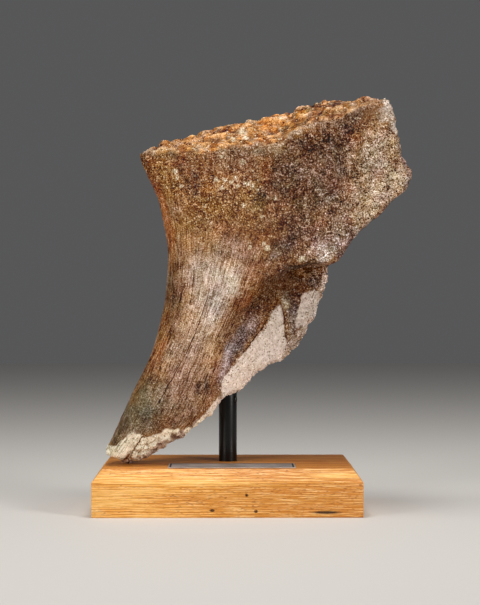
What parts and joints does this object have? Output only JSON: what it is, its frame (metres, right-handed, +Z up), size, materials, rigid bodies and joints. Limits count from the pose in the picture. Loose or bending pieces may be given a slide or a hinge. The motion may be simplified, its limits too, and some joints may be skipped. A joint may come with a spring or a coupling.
{
  "type": "fossil bone fragment on a stand",
  "caption": "Broken piece of a woolly mammoth's hip bone with a lumpy crest, held on a black rod in a chamfered oak base with a blank label plate.",
  "frame": {"origin": "centre of the oak base's underside", "axes": "+Z up and along the longest extent, -Y towards the viewer of the pictured side, +X to that viewer's right"},
  "size_m": [0.3096, 0.15, 0.4079],
  "materials": {
    "fossil_bone": "dull mineralised bone, brown to grey with pale breaks",
    "black_metal": "satin black",
    "oak": "oiled satin oak",
    "plate_metal": "brushed, silver-coloured"
  },
  "bodies": {
    "root": {"pelvis_fragment": "fossil_bone", "stand_rod": "black_metal", "oak_base": "oak", "label_plate": "plate_metal"}
  },
  "joints": []
}
